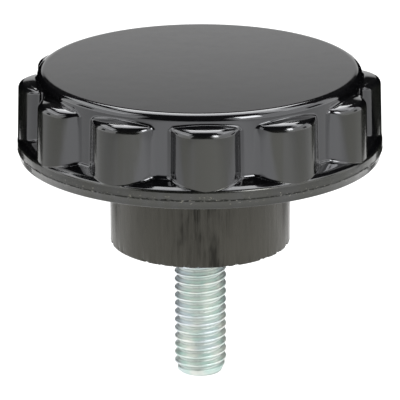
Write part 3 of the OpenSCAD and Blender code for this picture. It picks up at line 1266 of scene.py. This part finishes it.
@dataclass(frozen=True)
class Card:
    """An upright card of the studio that only reflections show, in millimetres."""

    name: str
    start: Span
    end: Span
    foot: float
    top: float
    lit: Span = (0.0, 0.0)
    fade: Span = (0.0, 1.0)

    def build(self) -> bpy.types.Object:
        """Make the card; it is lit from lit[0] to lit[1] between the two heights of fade.

        Returns:
            The card's object.
        """
        corners = [(*self.start, self.foot), (*self.end, self.foot), (*self.end, self.top),
                   (*self.start, self.top)]
        mesh = bpy.data.meshes.new(self.name)
        mesh.from_pydata([Vector(c) * MM for c in corners], [], [(0, 1, 2, 3)])
        material, tree, place, output = new_material(self.name)
        height = add_node(tree, "ShaderNodeSeparateXYZ", (place,))
        strength = add_node(tree, "ShaderNodeMapRange", (
            height.outputs["Z"], *in_metres(self.fade), *self.lit))
        glow = add_node(tree, "ShaderNodeEmission", {"Color": WHITE, "Strength": strength})
        tree.links.new(glow.outputs[0], output.inputs[0])
        material.cycles.emission_sampling = "NONE"
        card = new_piece(self.name, mesh)
        mesh.materials.append(material)
        card.visible_camera = False
        card.visible_shadow = False
        card.visible_diffuse = False
        return card


@dataclass
class Studio:
    """White table, dark room, soft lamps and cards, in millimetres."""

    table_z: float
    reach: float = 3000.0
    table: str = "#9c9c9c"
    table_roughness: float = 0.9
    table_shine: float = 0.2
    # The table's own white, from near the knob to far away
    lift_r: Span = (120.0, 500.0)
    lift: Span = (0.9, 1.0)
    # What reflections show of it: less out at the sides, and less under the knob, as a painted
    # shadow of the knob
    side_x: Span = (100.0, 200.0)
    side_lift: float = 0.45
    shade_r: Span = (10.0, 70.0)
    shade: float = 0.6
    shade_at: Span = (32.0, 0.0)
    room: float = 0.012

    @staticmethod
    def lamps() -> list[SoftBox]:
        """The lamps, as the reflections in the head show them.

        Returns:
            Each lamp's name, place, width, height, brightness and aim.
        """
        return [
            SoftBox("overhead_near", (0.0, 25.0, 600.0), 560.0, 90.0, 2.0, (0.0, 25.0, 0.0)),
            SoftBox("overhead_front", (0.0, 160.0, 600.0), 560.0, 180.0, 3.6, (0.0, 160.0, 0.0)),
            SoftBox("overhead_back", (0.0, 490.0, 600.0), 400.0, 480.0, 4.0, (0.0, 490.0, 0.0)),
            SoftBox("left_bank", (-470.0, 10.0, 500.0), 740.0, 240.0, 2.2),
            SoftBox("right_bank", (400.0, 0.0, 560.0), 300.0, 260.0, 2.5),
            SoftBox("left_panel", (-627.0, -133.0, 199.0), 980.0, 560.0, 1.45),
            SoftBox("right_panel", (592.0, -192.0, 235.0), 1444.0, 640.0, 1.45),
            SoftBox("key_lamp", (301.0, -414.0, 333.0), 150.0, 260.0, 9.0),
        ]

    def cards(self) -> list[Card]:
        """The lit card behind the knob, and the black flags at its left and right.

        Returns:
            Each card's name, its two ends seen from above, its foot and its top.
        """
        return [
            Card("back_card", (-300.0, 900.0), (300.0, 900.0), self.table_z, 340.0,
                 (0.56, 0.25), (270.0, 330.0)),
            *(Card(f"{side}_{part}_flag", (x, start), (x, end), foot, top)
              for side, x in (("left", -62.0), ("right", 62.0))
              for part, start, end, foot, top in (("upper", -2.0, 200.0, 9.0, 62.0),
                                                  ("lower", 34.0, 110.0, -20.0, 9.0),
                                                  ("rear", 110.0, 260.0, -25.3, 9.0))),
            # These keep the side panels out of the flat top where it is seen from a side.
            *(Card(f"{side}_far_flag", (x, -70.0), (x, 2.0), 60.0, 140.0)
              for side, x in (("left", -300.0), ("right", 300.0))),
        ]

    def floor(self) -> bpy.types.Object:
        """Make the table, which is white to the eye and in reflections, and clear from below.

        Returns:
            The table's object.
        """
        reach, height = self.reach * MM, self.table_z * MM
        mesh = bpy.data.meshes.new("table")
        mesh.from_pydata([(-reach, -reach, height), (reach, -reach, height),
                          (reach, reach, height), (-reach, reach, height)], [], [(0, 1, 2, 3)])
        material, tree, place, output = new_material("matt_white_table")
        seen = add_node(tree, "ShaderNodeLightPath")
        mirrored = add_node(tree, "ShaderNodeMath", (
            seen.outputs["Is Glossy Ray"], seen.outputs["Is Transmission Ray"]),
            operation="MAXIMUM")
        axes = add_node(tree, "ShaderNodeSeparateXYZ", (place,))
        apart = add_node(tree, "ShaderNodeMath", (axes.outputs["X"],), operation="ABSOLUTE")
        aside = add_node(tree, "ShaderNodeMapRange", (
            apart, *in_metres(self.side_x), 1.0, self.side_lift), **SMOOTH)
        # Painted shadow of the knob on the table, as reflections show it
        under = add_node(tree, "ShaderNodeVectorMath", (
            place, tuple(v * MM for v in (*self.shade_at, self.table_z))), operation="DISTANCE")
        shade = add_node(tree, "ShaderNodeMapRange", (
            under.outputs["Value"], *in_metres(self.shade_r), self.shade, 1.0), **SMOOTH)
        shaded = add_node(tree, "ShaderNodeMath", (aside, shade), **TIMES)
        reflected = add_node(tree, "ShaderNodeMath", (mirrored, shaded), **TIMES)
        rays = add_node(tree, "ShaderNodeMath", (seen.outputs["Is Camera Ray"], reflected),
                        operation="MAXIMUM")
        away = add_node(tree, "ShaderNodeVectorMath", (place,), operation="LENGTH")
        lift = add_node(tree, "ShaderNodeMapRange", (
            away.outputs["Value"], *in_metres(self.lift_r), *self.lift), **SMOOTH)
        strength = add_node(tree, "ShaderNodeMath", (lift, rays), **TIMES)
        shader = add_node(tree, "ShaderNodeBsdfPrincipled", {
            "Base Color": to_linear(self.table), "Roughness": self.table_roughness,
            "Specular IOR Level": self.table_shine, "Emission Color": WHITE,
            "Emission Strength": strength})
        clear = add_node(tree, "ShaderNodeBsdfTransparent")
        side = add_node(tree, "ShaderNodeNewGeometry")
        sided = add_node(tree, "ShaderNodeMixShader", (side.outputs["Backfacing"], shader, clear))
        tree.links.new(sided.outputs[0], output.inputs[0])
        material.cycles.emission_sampling = "NONE"
        table = new_piece("table", mesh)
        mesh.materials.append(material)
        return table

    def surround(self) -> None:
        """Make the room: dark in reflections, white behind the object."""
        world = bpy.data.worlds.new("studio_room")
        bpy.context.scene.world = world
        world.use_nodes = True
        tree = world.node_tree
        tree.nodes.clear()
        dark, white = (
            add_node(tree, "ShaderNodeBackground", {"Color": WHITE, "Strength": strength})
            for strength in (self.room, 1.0))
        seen = add_node(tree, "ShaderNodeLightPath")
        rays = add_node(tree, "ShaderNodeMath", (
            seen.outputs["Is Camera Ray"], seen.outputs["Is Transmission Ray"]),
            operation="MAXIMUM")
        both = add_node(tree, "ShaderNodeMixShader", (rays, dark, white))
        output = add_node(tree, "ShaderNodeOutputWorld")
        tree.links.new(both.outputs[0], output.inputs[0])

    def build(self) -> None:
        """Set up the table, the room, the lamps and the cards."""
        self.floor()
        self.surround()
        for prop in (*self.lamps(), *self.cards()):
            prop.build()


@dataclass(frozen=True)
class ProductCamera:
    """The photograph's viewpoint, in millimetres and degrees."""

    distance: float = 800.0
    elevation: float = 18.32
    roll: float = -0.17
    target: Place = (-0.02, 0.0, 7.6)
    pixels_per_mm: float = 5.45
    clip: Span = (10.0, 20000.0)

    def build(self) -> bpy.types.Object:
        """Make the camera and give it to the scene.

        Returns:
            The camera's object.
        """
        data = bpy.data.cameras.new("product_camera")
        data.sensor_width = SENSOR_MM
        data.lens = self.pixels_per_mm * self.distance / IMAGE_PX * SENSOR_MM
        data.clip_start, data.clip_end = in_metres(self.clip)
        camera = bpy.data.objects.new("product_camera", data)
        bpy.context.scene.collection.objects.link(camera)
        tilt = math.radians(self.elevation)
        away = Vector((0.0, -math.cos(tilt), math.sin(tilt)))
        camera.location = (Vector(self.target) + away * self.distance) * MM
        level = (-away).to_track_quat("-Z", "Y")
        camera.rotation_euler = (
            level @ Quaternion((0.0, 0.0, 1.0), math.radians(self.roll))).to_euler()
        bpy.context.scene.camera = camera
        return camera


def main() -> None:
    """Build the knob and its studio, and say what was made."""
    logging.basicConfig(level=logging.INFO, format="%(name)s: %(message)s")
    bpy.context.scene.view_settings.view_transform = "Standard"
    ProductCamera().build()
    stud = ThreadedStud.from_frame()
    pieces = [KnobBody.from_frame().build(GlossPhenolic(), SatinPhenolic()),
              stud.build(ZincPlate())]
    Studio(table_z=-stud.length - TABLE_GAP).build()
    for piece in pieces:
        piece.data.calc_loop_triangles()
        LOG.info("%s: %d triangles", piece.name, len(piece.data.loop_triangles))


if __name__ == "__main__":
    main()
